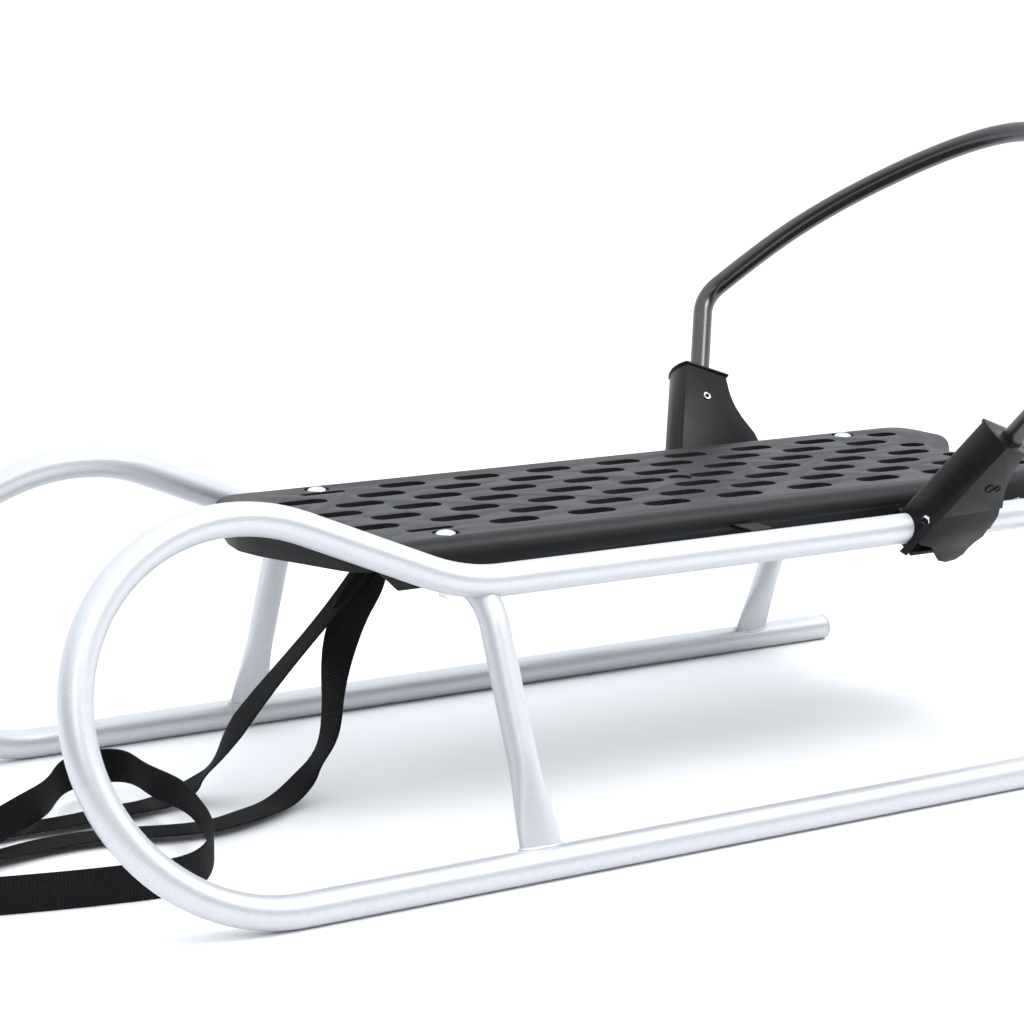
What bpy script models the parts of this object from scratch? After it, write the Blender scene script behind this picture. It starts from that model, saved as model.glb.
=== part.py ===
# Child's tubular metal sled with a slotted plastic seat, a push and back
# rest hoop clamped to the rails, and a webbing tow strap.
# Metres, +Z up. The sled travels towards -Y; +X is its left side.
import math

import bmesh
import bpy
import numpy as np
from mathutils import Matrix, Vector

# Clearances
GAP = 0.0003                      # between pieces that touch

# Side frames: one tube each, runner, front loop and top rail
TUBE_R = 0.011
TUBE_SIDES = 6                    # bevel resolution of the frame tubes
FRAME_LEAN = math.radians(23.26)  # inward lean of each side frame
LOOP_START_Y = -0.1675            # where the runner starts to rise
LOOP_R = 0.1230
INCLINE = math.radians(24.6)      # slope of the tube behind the loop
INCLINE_LEN = 0.0885
KINK_R = 0.125
RUNNER_END_Y = 0.567
RAIL_END_Y = 0.562
SIDE_GAP = 0.0178                 # from the deck's side to the rail
RAIL_UP = (LOOP_R * (1 + math.cos(INCLINE))
           - INCLINE_LEN * math.sin(INCLINE)
           - KINK_R * (1 - math.cos(INCLINE)))
RAIL_Z = TUBE_R + RAIL_UP * math.cos(FRAME_LEAN)

# End plugs
PLUG_HEAD = 0.003
PLUG_STEM = 0.012
TUBE_WALL = 0.0015

# Cross bows
BOW_R = 0.010
BOW_DROP = 0.0045                 # level stretch below the rail's centre
BOW_Z = RAIL_Z - BOW_DROP
BOW_BEND_R = 0.040
BOW_FRONT_Y = 0.005
BOW_REAR_Y = 0.487
FOOT_LEN = 0.060                  # flattened lower end of a leg
FOOT_WIDTH = 0.031
FOOT_THICK = 0.010

# Seat deck
SEAT_RISE = 0.024                 # deck's top above the rail's centre
SEAT_TOP_Z = RAIL_Z + SEAT_RISE
SEAT_HALF_W = 0.118
RUNNER_X = (SEAT_HALF_W + SIDE_GAP + TUBE_R
            + RAIL_UP * math.sin(FRAME_LEAN))  # runner to the middle plane
SEAT_WALL = 0.003
SKIRT_DEPTH = 0.030
SEAT_EDGE_R = 0.011
SEAT_FRONT_Y = -0.107             # nose on the middle plane
SEAT_SHOULDER_Y = -0.070          # front edge near the corners
SEAT_REAR_Y = 0.566
SEAT_CORNER_R = 0.026
NOSE_RISE = 0.014                 # how much the skirt is cut up at the nose
NOSE_DIP = 0.003                  # how far the cut falls towards the tip
NOSE_LEN = 0.026                  # how far behind the shoulder it reaches
NOSE_STEP = 0.014                 # length of the step to the full skirt
NOTCH_HALF_W = 0.050              # scoop in the rear edge, at its mouth
NOTCH_FLOOR_W = 0.014             # half the scoop's floor
NOTCH_DEPTH = 0.048
NOTCH_R = 0.022

# Slots in the deck
SLOT_LEN = 0.038
SLOT_W = 0.016
SLOT_PITCH = 0.0632
SLOT_ROW = 0.0265
SLOT_ROWS = 7
SLOT_FIRST_Y = 0.0045             # first slot of the outer rows
SLOT_EDGE = 0.014                 # least distance of a slot to the edge
ODD_SLOTS = (                     # x, y, length, width
    (3 * SLOT_ROW - 0.001, BOW_FRONT_Y - 0.003, 0.036, 0.0075),
    (SLOT_ROW, SEAT_REAR_Y - NOTCH_DEPTH - 0.014, 0.022, SLOT_W),
    (3 * SLOT_ROW, BOW_REAR_Y + 0.0285, 0.027, SLOT_W))
DIMPLE_Y = 0.260                  # unused bolt recess on the middle line
DIMPLE_R = 0.009

# Seat bolts
BOLT_X = SEAT_HALF_W - 0.0236
BOLT_R = 0.003
BOLT_HEAD_R = 0.0075
BOLT_HEAD_H = 0.0028
BOLT_RECESS_R = 0.0095
BOLT_RECESS = 0.0015
BOLT_BELOW = 0.0065               # thread that shows below the bow
BOSS_R = 0.011
NUT_R = 0.0055
NUT_H = 0.0045

# Side lugs of the deck that rest on the rails
LUG_Y = 0.231
LUG_LEN = 0.018
LUG_THICK = 0.0025
LUG_REACH = 0.005                 # how far short of the rail's centre

# Hoop and its brackets. A bracket's faces run along the rail and along the
# hoop's leg. Profiles are in the plane of the rail (Y) and the bracket's
# own up direction, measured from the rail's centre.
HOOP_R = 0.008
HOOP_BASE_Y = 0.3773
HOOP_DIR = Vector((0.503, 0.398, 0.768)).normalized()
HOOP_OFFSET = 0.002               # hoop axis outside the rail's centre
HOOP_SOCKET = 0.046               # height of the hoop's lower end
HOOP_SHOULDER_X = 0.232           # corner between leg and arch
HOOP_SHOULDER_R = 0.030
ARCH_LEAN = math.radians(46.0)
ARCH_HEIGHT = 0.2085                # shoulder corner to the arch's top
BRACKET_HALF = 0.015
BRACKET_CREASE = 0.3558           # corner of front and sides, at the rail
BRACKET_BULGE = 0.005             # rounding of the front
BRACKET_TOP = (0.380, 0.0917)     # a point of the slanted top, far forward
BRACKET_LOW = -0.011
BRACKET_REACH = 0.13             # length of the cuts along the hoop's leg
BRACKET_INNER = ((0.4280, 0.0710), (0.4268, 0.0610), (0.4264, 0.0550),
                 (0.4266, 0.0490), (0.4275, 0.0430), (0.4300, 0.0345),
                 (0.4335, 0.0265), (0.4370, 0.0195), (0.4385, 0.0110),
                 (0.4380, 0.0000), (0.4360, BRACKET_LOW))
BRACKET_OUTER = ((0.4135, 0.0773), (0.4122, 0.0680), (0.4118, 0.0600),
                 (0.4122, 0.0530), (0.4134, 0.0455), (0.4160, 0.0375),
                 (0.4200, 0.0275), (0.4235, 0.0190), (0.4252, 0.0125),
                 (0.4235, 0.0000), (0.4165, BRACKET_LOW))
CAP_THICK = 0.0025
CAP_LIP = 0.001
JAW_THICK = 0.0035
STEP = ((0.3660, 0.0240), (0.4260, 0.0276))  # lower edge of the outer face
JAW_PROFILE = ((0.3670, 0.0235), (0.4160, 0.0257), (0.4225, 0.0120),
               (0.4200, -0.0035), (0.4150, -0.0085), (0.4115, -0.0140),
               (0.4095, -0.0200), (0.4040, -0.0245), (0.3960, -0.0258),
               (0.3880, -0.0235), (0.3820, -0.0170), (0.3740, -0.0080),
               (0.3600, -0.0030), (0.3575, 0.0020))
JAW_BAR = (0.358, 0.412)          # stretch of rail that the jaw closes

# Tow strap
STRAP_W = 0.025
STRAP_T = 0.002
STRAP_TUBE_R = 0.004

# Scene
for old in list(bpy.data.objects):
    bpy.data.objects.remove(old, do_unlink=True)

SLED = bpy.data.collections.new("child_sled")
CUTTERS = bpy.data.collections.new("cutters")
bpy.context.scene.collection.children.link(SLED)
bpy.context.scene.collection.children.link(CUTTERS)


def material(name, colour, roughness, metallic=0.0):
    mat = bpy.data.materials.new(name)
    mat.use_nodes = True
    bsdf = mat.node_tree.nodes["Principled BSDF"]
    bsdf.inputs["Base Color"].default_value = (*colour, 1.0)
    bsdf.inputs["Roughness"].default_value = roughness
    bsdf.inputs["Metallic"].default_value = metallic
    mat.diffuse_color = (*colour, 1.0)
    return mat


SILVER = material("silver_paint", (0.66, 0.67, 0.69), 0.35, 0.6)
SEAT_BLACK = material("seat_plastic", (0.030, 0.030, 0.033), 0.6)
BRACKET_BLACK = material("bracket_plastic", (0.022, 0.022, 0.024), 0.45)
HOOP_BLACK = material("hoop_paint", (0.018, 0.018, 0.020), 0.30)
PLUG_GREY = material("plug_plastic", (0.20, 0.20, 0.21), 0.5)
ZINC = material("zinc", (0.62, 0.62, 0.60), 0.30, 1.0)
WEBBING = material("webbing", (0.012, 0.012, 0.013), 0.85)


def link(obj, collection):
    for c in list(obj.users_collection):
        c.objects.unlink(obj)
    collection.objects.link(obj)


def finish(obj, mat):
    """A part of the sled: its material, smooth where it is round."""
    link(obj, SLED)
    obj.data.materials.clear()
    obj.data.materials.append(mat)
    if obj.type == "MESH":
        obj.data.shade_smooth()
        obj.data.set_sharp_from_angle(angle=math.radians(35))
    return obj


def cutter(obj):
    link(obj, CUTTERS)
    obj.hide_render = True
    obj.display_type = "WIRE"
    return obj


def as_mesh(obj, name):
    """The evaluated object as a mesh object, welded."""
    obj.name = name + "_shape"
    graph = bpy.context.evaluated_depsgraph_get()
    mesh = bpy.data.meshes.new_from_object(obj.evaluated_get(graph))
    bm = bmesh.new()
    bm.from_mesh(mesh)
    bmesh.ops.remove_doubles(bm, verts=bm.verts, dist=0.000001)
    bmesh.ops.recalc_face_normals(bm, faces=bm.faces)
    bm.to_mesh(mesh)
    bm.free()
    new = bpy.data.objects.new(name, mesh)
    new.matrix_world = obj.matrix_world.copy()
    CUTTERS.objects.link(new)
    data = obj.data
    bpy.data.objects.remove(obj, do_unlink=True)
    if data.users == 0 and isinstance(data, bpy.types.Curve):
        bpy.data.curves.remove(data)
    return new


def tube(name, points, radius, sides):
    """A round bar along the points, closed at both ends."""
    data = bpy.data.curves.new(name, "CURVE")
    data.dimensions = "3D"
    data.bevel_depth = radius
    data.bevel_resolution = sides
    data.use_fill_caps = True
    spline = data.splines.new("POLY")
    spline.points.add(len(points) - 1)
    for point, co in zip(spline.points, points):
        point.co = (*co, 1.0)
    obj = bpy.data.objects.new(name, data)
    CUTTERS.objects.link(obj)
    bpy.context.view_layer.update()
    return as_mesh(obj, name)


def prism(name, outlines, half, matrix):
    """Flat outlines, extruded half to each side of the matrix's plane."""
    data = bpy.data.curves.new(name, "CURVE")
    data.dimensions = "2D"
    data.fill_mode = "BOTH"
    data.extrude = half
    for outline in outlines:
        spline = data.splines.new("POLY")
        spline.points.add(len(outline) - 1)
        for point, co in zip(spline.points, outline):
            point.co = (co[0], co[1], 0.0, 1.0)
        spline.use_cyclic_u = True
    obj = bpy.data.objects.new(name, data)
    obj.matrix_world = matrix
    CUTTERS.objects.link(obj)
    bpy.context.view_layer.update()
    return as_mesh(obj, name)


def cylinder(name, a, b, radius, segments=24):
    """A round bar from a to b."""
    a, b = Vector(a), Vector(b)
    mesh = bpy.data.meshes.new(name)
    bm = bmesh.new()
    bmesh.ops.create_cone(bm, cap_ends=True, segments=segments,
                          radius1=radius, radius2=radius,
                          depth=(b - a).length)
    bm.to_mesh(mesh)
    bm.free()
    obj = bpy.data.objects.new(name, mesh)
    turn = (b - a).to_track_quat("Z", "Y").to_matrix().to_4x4()
    obj.matrix_world = Matrix.Translation((a + b) / 2) @ turn
    CUTTERS.objects.link(obj)
    return obj


def box(name, low, high):
    mesh = bpy.data.meshes.new(name)
    bm = bmesh.new()
    bmesh.ops.create_cube(bm, size=1.0)
    size = [h - l for l, h in zip(low, high)]
    bmesh.ops.scale(bm, vec=size, verts=bm.verts)
    bm.to_mesh(mesh)
    bm.free()
    obj = bpy.data.objects.new(name, mesh)
    obj.location = [(h + l) / 2 for l, h in zip(low, high)]
    CUTTERS.objects.link(obj)
    bpy.context.view_layer.update()
    return obj


def boolean(obj, other, operation="DIFFERENCE"):
    mod = obj.modifiers.new(other.name, "BOOLEAN")
    mod.operation = operation
    mod.solver = "EXACT"
    mod.object = other
    cutter(other)
    return obj


def baked(obj, name):
    """The object with its modifiers applied."""
    bpy.context.view_layer.update()
    return as_mesh(obj, name)


def mirrored(obj, name):
    """The opposite-handed copy on the other side of the middle plane."""
    mesh = obj.data.copy()
    mesh.transform(obj.matrix_world)
    mesh.transform(Matrix.Scale(-1.0, 4, (1.0, 0.0, 0.0)))
    mesh.flip_normals()
    new = bpy.data.objects.new(name, mesh)
    SLED.objects.link(new)
    return new


def smooth_curve(points, count):
    """A smooth curve through the points, evenly spaced along it."""
    p = np.array(points, float)
    t = np.concatenate(([0.0], np.cumsum(
        np.linalg.norm(np.diff(p, axis=0), axis=1))))
    n = len(p)
    h = np.diff(t)
    a = np.zeros((n, n))
    r = np.zeros((n, 3))
    a[0, 0] = a[-1, -1] = 1.0
    for i in range(1, n - 1):
        a[i, i - 1] = h[i - 1]
        a[i, i] = 2 * (h[i - 1] + h[i])
        a[i, i + 1] = h[i]
        r[i] = 6 * ((p[i + 1] - p[i]) / h[i] - (p[i] - p[i - 1]) / h[i - 1])
    m = np.linalg.solve(a, r)

    def at(u):
        i = min(max(int(np.searchsorted(t, u)) - 1, 0), n - 2)
        left, right = t[i + 1] - u, u - t[i]
        return ((m[i] * left ** 3 + m[i + 1] * right ** 3) / (6 * h[i])
                + (p[i] / h[i] - m[i] * h[i] / 6) * left
                + (p[i + 1] / h[i] - m[i + 1] * h[i] / 6) * right)

    fine = np.array([at(u) for u in np.linspace(0, t[-1], 40 * n)])
    s = np.concatenate(([0.0], np.cumsum(
        np.linalg.norm(np.diff(fine, axis=0), axis=1))))
    return [Vector([float(np.interp(u, s, fine[:, k])) for k in range(3)])
            for u in np.linspace(0, s[-1], count)]


def arc(x, y, heading, radius, angle, step=math.radians(7.5)):
    """Points along an arc that turns left for a positive angle."""
    count = max(2, round(abs(angle) / step))
    turn = angle / count
    chord = 2 * radius * math.sin(abs(turn) / 2)
    points = []
    for _ in range(count):
        heading += turn / 2
        x += chord * math.cos(heading)
        y += chord * math.sin(heading)
        heading += turn / 2
        points.append((x, y))
    return points, x, y, heading


# Side frames
def frame_outline():
    """(y, distance up the leaning plane) along the tube, runner first."""
    points = [(RUNNER_END_Y, 0.0), (LOOP_START_Y, 0.0)]
    y, s, heading = LOOP_START_Y, 0.0, math.pi
    turned, y, s, heading = arc(y, s, heading, LOOP_R,
                                -(math.pi + INCLINE))
    points += turned
    y += INCLINE_LEN * math.cos(heading)
    s += INCLINE_LEN * math.sin(heading)
    points.append((y, s))
    turned, y, s, heading = arc(y, s, heading, KINK_R, INCLINE)
    points += turned
    points.append((RAIL_END_Y, s))
    return points


def in_frame(y, s):
    """A point of the left frame's plane in the sled's axes."""
    return Vector((RUNNER_X - s * math.sin(FRAME_LEAN), y,
                   TUBE_R + s * math.cos(FRAME_LEAN)))


FRAME_PATH = [in_frame(y, s) for y, s in frame_outline()]
RAIL = in_frame(0.0, RAIL_UP)     # the rail's centre, behind the kink


def reach(path, by):
    """The path made longer at both ends."""
    first = path[0] + (path[0] - path[1]).normalized() * by
    last = path[-1] + (path[-1] - path[-2]).normalized() * by
    return [first] + path[1:-1] + [last]


frame = tube("frame", FRAME_PATH, TUBE_R, TUBE_SIDES)
stem_r = TUBE_R - TUBE_WALL
for where, end in (("runner", FRAME_PATH[0]), ("rail", FRAME_PATH[-1])):
    deep = end - Vector((0, PLUG_STEM + GAP, 0))
    out = end + Vector((0, 0.01, 0))
    boolean(frame, cylinder("socket_" + where, deep, out, stem_r + GAP))
frame = baked(frame, "side_frame_left")
finish(frame, SILVER)
finish(mirrored(frame, "side_frame_right"), SILVER)

# What fits round a frame tube is cut with this
clear_left = cutter(tube("clear_left", reach(FRAME_PATH, 0.03),
                         TUBE_R + GAP, TUBE_SIDES))
clear_right = cutter(mirrored(clear_left, "clear_right"))

for where, end in (("runner", FRAME_PATH[0]), ("rail", FRAME_PATH[-1])):
    seat = end + Vector((0, GAP, 0))
    plug = cylinder("plug", end - Vector((0, PLUG_STEM, 0)),
                    seat + Vector((0, PLUG_HEAD / 2, 0)), stem_r)
    head = cylinder("head", seat, seat + Vector((0, PLUG_HEAD, 0)), TUBE_R)
    bm = bmesh.new()
    bm.from_mesh(head.data)
    rim = [e for e in bm.edges if all(v.co.z > 0 for v in e.verts)
           and e.is_manifold and len(e.link_faces) == 2
           and max(f.calc_area() for f in e.link_faces) > TUBE_R ** 2]
    bmesh.ops.bevel(bm, geom=rim, offset=PLUG_HEAD * 0.45, segments=2,
                    affect="EDGES")
    bm.to_mesh(head.data)
    bm.free()
    boolean(plug, head, "UNION")
    plug = baked(plug, where + "_plug_left")
    finish(plug, PLUG_GREY)
    finish(mirrored(plug, where + "_plug_right"), PLUG_GREY)


# Cross bows
def bow_path():
    """Half of a bow in the plane x, z: from the foot to the middle."""
    lean = FRAME_LEAN
    foot = Vector((RUNNER_X, TUBE_R))
    up = Vector((-math.sin(lean), math.cos(lean)))
    corner = foot + up * ((BOW_Z - TUBE_R) / math.cos(lean))
    turn = math.pi / 2 - lean
    back = BOW_BEND_R * math.tan(turn / 2)
    start = corner - up * back
    points = [foot]
    flat = FOOT_LEN + TUBE_R
    for share in (0.25, 0.5, 0.75, 1.0):
        points.append(foot + up * flat * share)
    points.append(start)
    bent, _, _, _ = arc(start.x, start.y, math.pi / 2 + lean, BOW_BEND_R,
                        turn, math.radians(9))
    points += [Vector(p) for p in bent]
    return points


HALF_BOW = bow_path()


def bow(name, y):
    left = [Vector((p.x, y, p.y)) for p in HALF_BOW]
    right = [Vector((-p.x, y, p.y)) for p in reversed(HALF_BOW)]
    obj = tube("bow", left + right, BOW_R, 5)
    foot = Vector((RUNNER_X, TUBE_R))
    up = Vector((-math.sin(FRAME_LEAN), math.cos(FRAME_LEAN)))
    flat = FOOT_LEN + TUBE_R
    for v in obj.data.vertices:
        side = 1.0 if v.co.x > 0 else -1.0
        p = Vector((abs(v.co.x), v.co.z)) - foot
        along = p.dot(up)
        if along < flat:
            t = 1.0 - max(along - TUBE_R, 0.0) / FOOT_LEN
            t = t * t * (3 - 2 * t)
            across = p - up * along
            thin = 1.0 + (FOOT_THICK / (2 * BOW_R) - 1.0) * t
            wide = 1.0 + (FOOT_WIDTH / (2 * BOW_R) - 1.0) * t
            p = foot + up * along + across * thin
            v.co = (side * p.x, y + (v.co.y - y) * wide, p.y)
    boolean(obj, clear_left)
    boolean(obj, clear_right)
    return obj


for name, y in (("front_bow", BOW_FRONT_Y), ("rear_bow", BOW_REAR_Y)):
    obj = bow(name, y)
    for side in (1, -1):
        hole = cylinder("bow_hole", (side * BOLT_X, y, BOW_Z - 2 * BOW_R),
                        (side * BOLT_X, y, BOW_Z + 2 * BOW_R),
                        BOLT_R + GAP, 16)
        boolean(obj, hole)
    finish(baked(obj, name), SILVER)


# Seat deck
def rounded(points, radii, step=math.radians(22.5)):
    """A closed outline with its corners rounded."""
    out = []
    count = len(points)
    for i, p in enumerate(points):
        p = Vector(p)
        before = (Vector(points[i - 1]) - p)
        after = (Vector(points[(i + 1) % count]) - p)
        angle = before.angle(after)
        radius = radii[i]
        if radius <= 0 or abs(angle - math.pi) < 0.02:
            out.append(tuple(p))
            continue
        back = radius / math.tan(angle / 2)
        back = min(back, before.length * 0.49, after.length * 0.49)
        radius = back * math.tan(angle / 2)
        a = before.normalized()
        b = after.normalized()
        centre = p + (a + b).normalized() * (radius / math.sin(angle / 2))
        start = p + a * back - centre
        sweep = math.pi - angle
        sign = 1.0 if start.cross(p + b * back - centre) > 0 else -1.0
        pieces = max(2, round(sweep / step))
        for k in range(pieces + 1):
            t = sign * sweep * k / pieces
            c, s = math.cos(t), math.sin(t)
            out.append((centre.x + start.x * c - start.y * s,
                        centre.y + start.x * s + start.y * c))
    return out


def seat_outline(inset):
    """The deck's outline in x, y, drawn in by inset."""
    w = SEAT_HALF_W - inset
    front = SEAT_FRONT_Y + inset
    shoulder = SEAT_SHOULDER_Y + inset
    rear = SEAT_REAR_Y - inset
    mouth = NOTCH_HALF_W + inset
    neck = NOTCH_FLOOR_W + inset
    floor = SEAT_REAR_Y - NOTCH_DEPTH - inset
    r = SEAT_CORNER_R - inset
    points = [(0.0, front), (w, shoulder), (w, rear), (mouth, rear),
              (neck, floor), (-neck, floor),
              (-mouth, rear), (-w, rear), (-w, shoulder)]
    radii = [0.08, r, r, NOTCH_R - inset * 0.5, NOTCH_R * 0.6 + inset,
             NOTCH_R * 0.6 + inset, NOTCH_R - inset * 0.5, r, r]
    return rounded(points, radii)


def slab(name, inset, low, high, edge, segments):
    """The outline as a slab with its upper edge rounded."""
    middle = Matrix.Translation((0, 0, (low + high) / 2))
    obj = prism(name, [seat_outline(inset)], (high - low) / 2, middle)
    bm = bmesh.new()
    bm.from_mesh(obj.data)
    top = (high - low) / 2 - 0.00001
    rim = []
    for e in bm.edges:
        if all(v.co.z > top for v in e.verts) and any(
                abs(f.normal.z) < 0.5 for f in e.link_faces):
            rim.append(e)
    bmesh.ops.bevel(bm, geom=rim, offset=edge, segments=segments,
                    profile=0.5, affect="EDGES")
    bm.to_mesh(obj.data)
    bm.free()
    return obj


SEAT_LOW_Z = SEAT_TOP_Z - SKIRT_DEPTH
deck = slab("deck", 0.0, SEAT_LOW_Z, SEAT_TOP_Z, SEAT_EDGE_R, 4)
hollow = slab("hollow", SEAT_WALL, SEAT_LOW_Z - 0.01,
              SEAT_TOP_Z - SEAT_WALL, SEAT_EDGE_R - SEAT_WALL, 3)
boolean(deck, hollow)

BOLTS = [(side * BOLT_X, y) for y in (BOW_FRONT_Y, BOW_REAR_Y)
         for side in (1, -1)]
for x, y in BOLTS:
    boss = cylinder("boss", (x, y, BOW_Z), (x, y, SEAT_TOP_Z - 0.001),
                    BOSS_R, 20)
    boolean(deck, boss, "UNION")
for side in (1, -1):
    edge = side * (SEAT_HALF_W - SEAT_WALL * 0.5)
    tip = side * (RAIL.x - LUG_REACH)
    low = RAIL.z + math.sqrt(TUBE_R ** 2 - LUG_REACH ** 2) - LUG_THICK * 0.2
    lug = box("lug", (min(edge, tip), LUG_Y - LUG_LEN / 2, low),
              (max(edge, tip), LUG_Y + LUG_LEN / 2, low + LUG_THICK))
    boolean(deck, lug, "UNION")


def slot_places():
    """Centres of the slots that fit on the deck, clear of the bolts."""
    places = []
    for row in range(SLOT_ROWS):
        x = (row - (SLOT_ROWS - 1) / 2) * SLOT_ROW
        shift = 0.0 if row % 2 == 0 else -SLOT_PITCH / 2
        for k in range(-3, 20):
            y = SLOT_FIRST_Y + shift + k * SLOT_PITCH
            reach_y = SLOT_LEN / 2 + SLOT_EDGE
            share = abs(x) / SEAT_HALF_W
            front = SEAT_FRONT_Y + share * (SEAT_SHOULDER_Y - SEAT_FRONT_Y)
            rear = SEAT_REAR_Y
            if abs(x) < NOTCH_HALF_W - 0.01:
                rear -= NOTCH_DEPTH
            if y - reach_y < front or y + reach_y > rear:
                continue
            if any(abs(x - bx) < BOLT_RECESS_R + SLOT_W / 2
                   and abs(y - by) < BOLT_RECESS_R + SLOT_LEN / 2 + 0.002
                   for bx, by in BOLTS):
                continue
            if any(abs(abs(x) - ox) < SLOT_W
                   and abs(y - oy) < (SLOT_LEN + length) / 2
                   for ox, oy, length, _ in ODD_SLOTS):
                continue
            places.append((x, y))
    return places


def stadium(x, y, length, width):
    r = width / 2
    out = []
    for k in range(7):
        t = math.pi * k / 6
        out.append((x + r * math.cos(t), y + length / 2 - r
                    + r * math.sin(t)))
    for k in range(7):
        t = math.pi + math.pi * k / 6
        out.append((x + r * math.cos(t), y - length / 2 + r
                    + r * math.sin(t)))
    return out


outlines = [stadium(x, y, SLOT_LEN, SLOT_W) for x, y in slot_places()]
for x, y, length, width in ODD_SLOTS:
    for side in (1, -1):
        outlines.append(stadium(side * x, y, length, width))
slots = prism("slots", outlines, 0.02,
              Matrix.Translation((0, 0, SEAT_TOP_Z)))
boolean(deck, slots)
boolean(deck, clear_left)
boolean(deck, clear_right)
boolean(deck, cylinder("dimple", (0, DIMPLE_Y, SEAT_TOP_Z - BOLT_RECESS),
                       (0, DIMPLE_Y, SEAT_TOP_Z + 0.01), DIMPLE_R, 24))
for x, y in BOLTS:
    boolean(deck, cylinder("bolt_hole", (x, y, BOW_Z - 2 * BOW_R),
                           (x, y, SEAT_TOP_Z + 0.01), BOLT_R + GAP, 16))
    boolean(deck, cylinder("recess", (x, y, SEAT_TOP_Z - BOLT_RECESS),
                           (x, y, SEAT_TOP_Z + 0.01), BOLT_RECESS_R, 24))
for y in (BOW_FRONT_Y, BOW_REAR_Y):
    left = [Vector((p.x, y, p.y)) for p in HALF_BOW[5:]]
    right = [Vector((-p.x, y, p.y)) for p in reversed(HALF_BOW[5:])]
    boolean(deck, tube("clear_bow", left + right, BOW_R + GAP, 5))
ahead = SEAT_FRONT_Y - NOSE_LEN
behind = SEAT_SHOULDER_Y + NOSE_LEN
nose = [(ahead, SEAT_LOW_Z - NOSE_RISE), (behind, SEAT_LOW_Z - NOSE_RISE),
        (behind, SEAT_LOW_Z), (behind - NOSE_STEP, SEAT_LOW_Z + NOSE_RISE),
        (ahead, SEAT_LOW_Z + NOSE_RISE - NOSE_DIP)]
ALONG_X = Matrix(((0, 0, 1, 0), (1, 0, 0, 0), (0, 1, 0, 0), (0, 0, 0, 1)))
boolean(deck, prism("nose_cut", [nose], SEAT_HALF_W + 0.02, ALONG_X))
finish(baked(deck, "seat_deck"), SEAT_BLACK)

# Seat bolts: domed head, shank through deck and bow, nut below
for i, (x, y) in enumerate(BOLTS):
    name = ("front", "rear")[i // 2] + "_" + ("left", "right")[i % 2]
    low = BOW_Z - BOW_R
    seat = SEAT_TOP_Z - BOLT_RECESS + GAP
    bolt = cylinder("bolt", (x, y, low - BOLT_BELOW), (x, y, seat + 0.001),
                    BOLT_R, 12)
    head = cylinder("bolt_head", (x, y, seat), (x, y, seat + BOLT_HEAD_H),
                    BOLT_HEAD_R, 16)
    for v in head.data.vertices:
        if v.co.z > 0:
            v.co.x *= 0.6
            v.co.y *= 0.6
    boolean(bolt, head, "UNION")
    nut = cylinder("nut_" + name, (x, y, low - GAP - NUT_H),
                   (x, y, low - GAP), NUT_R, 6)
    bore = cylinder("nut_bore", (x, y, low - 0.03), (x, y, low + 0.03),
                    BOLT_R + GAP, 12)
    finish(baked(bolt, "seat_bolt_" + name), ZINC)
    boolean(nut, bore)
    finish(baked(nut, "seat_nut_" + name), ZINC)


# Hoop and its brackets
SIDE_AXIS = Vector((HOOP_DIR.z, 0.0, -HOOP_DIR.x)).normalized()
UP_AXIS = Vector((HOOP_DIR.x, 0.0, HOOP_DIR.z)).normalized()
CLIMB = HOOP_DIR.dot(UP_AXIS)
HOOP_BASE = Vector((RAIL.x, HOOP_BASE_Y, RAIL.z)) + SIDE_AXIS * HOOP_OFFSET


def on_hoop(up):
    """The point of the left leg's axis at a height over the rail."""
    return HOOP_BASE + HOOP_DIR * (up / CLIMB)


def bracket_plane(side):
    """Local x along the rail, y up the bracket, z outwards."""
    origin = Vector((RAIL.x, 0.0, RAIL.z)) + SIDE_AXIS * side
    m = Matrix.Identity(4)
    for row in range(3):
        m[row][0] = (0.0, 1.0, 0.0)[row]
        m[row][1] = UP_AXIS[row]
        m[row][2] = SIDE_AXIS[row]
        m[row][3] = origin[row]
    return m


def shoulder():
    """The corner where the left leg would meet the arch."""
    return HOOP_BASE + HOOP_DIR * (
        (HOOP_SHOULDER_X - HOOP_BASE.x) / HOOP_DIR.x)


def hoop_path():
    corner = shoulder()
    rise = Vector((0.0, math.sin(ARCH_LEAN), math.cos(ARCH_LEAN)))
    arch = []
    for share, width in ((0.19, 0.926), (0.37, 0.830), (0.56, 0.690),
                         (0.73, 0.520), (0.885, 0.320), (0.975, 0.140)):
        p = corner + rise * ARCH_HEIGHT * share
        p.x = HOOP_SHOULDER_X * width
        arch.append(p)
    top = corner + rise * ARCH_HEIGHT
    top.x = 0.0
    first = (arch[0] - corner).normalized()
    angle = HOOP_DIR.angle(first)
    back = HOOP_SHOULDER_R * math.tan(angle / 2)
    turn = []
    a, b = corner - HOOP_DIR * back, corner + first * back
    for k in range(9):
        t = k / 8
        turn.append(a * (1 - t) ** 2 + corner * 2 * t * (1 - t) + b * t * t)
    start = on_hoop(HOOP_SOCKET)
    half = [start, start.lerp(a, 0.5)] + turn
    over = [b] + arch[1:] + [top] + [
        Vector((-p.x, p.y, p.z)) for p in reversed([b] + arch[1:])]
    over = smooth_curve(over, 33)[1:-1]
    other = [Vector((-p.x, p.y, p.z)) for p in reversed(half)]
    return half + over + other


hoop = tube("hoop", hoop_path(), HOOP_R, 4)
finish(hoop, HOOP_BLACK)
hoop.name = "push_hoop"

socket = cutter(cylinder("socket", on_hoop(HOOP_SOCKET - 0.001),
                         on_hoop(BRACKET_REACH), HOOP_R + GAP, 20))



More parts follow.
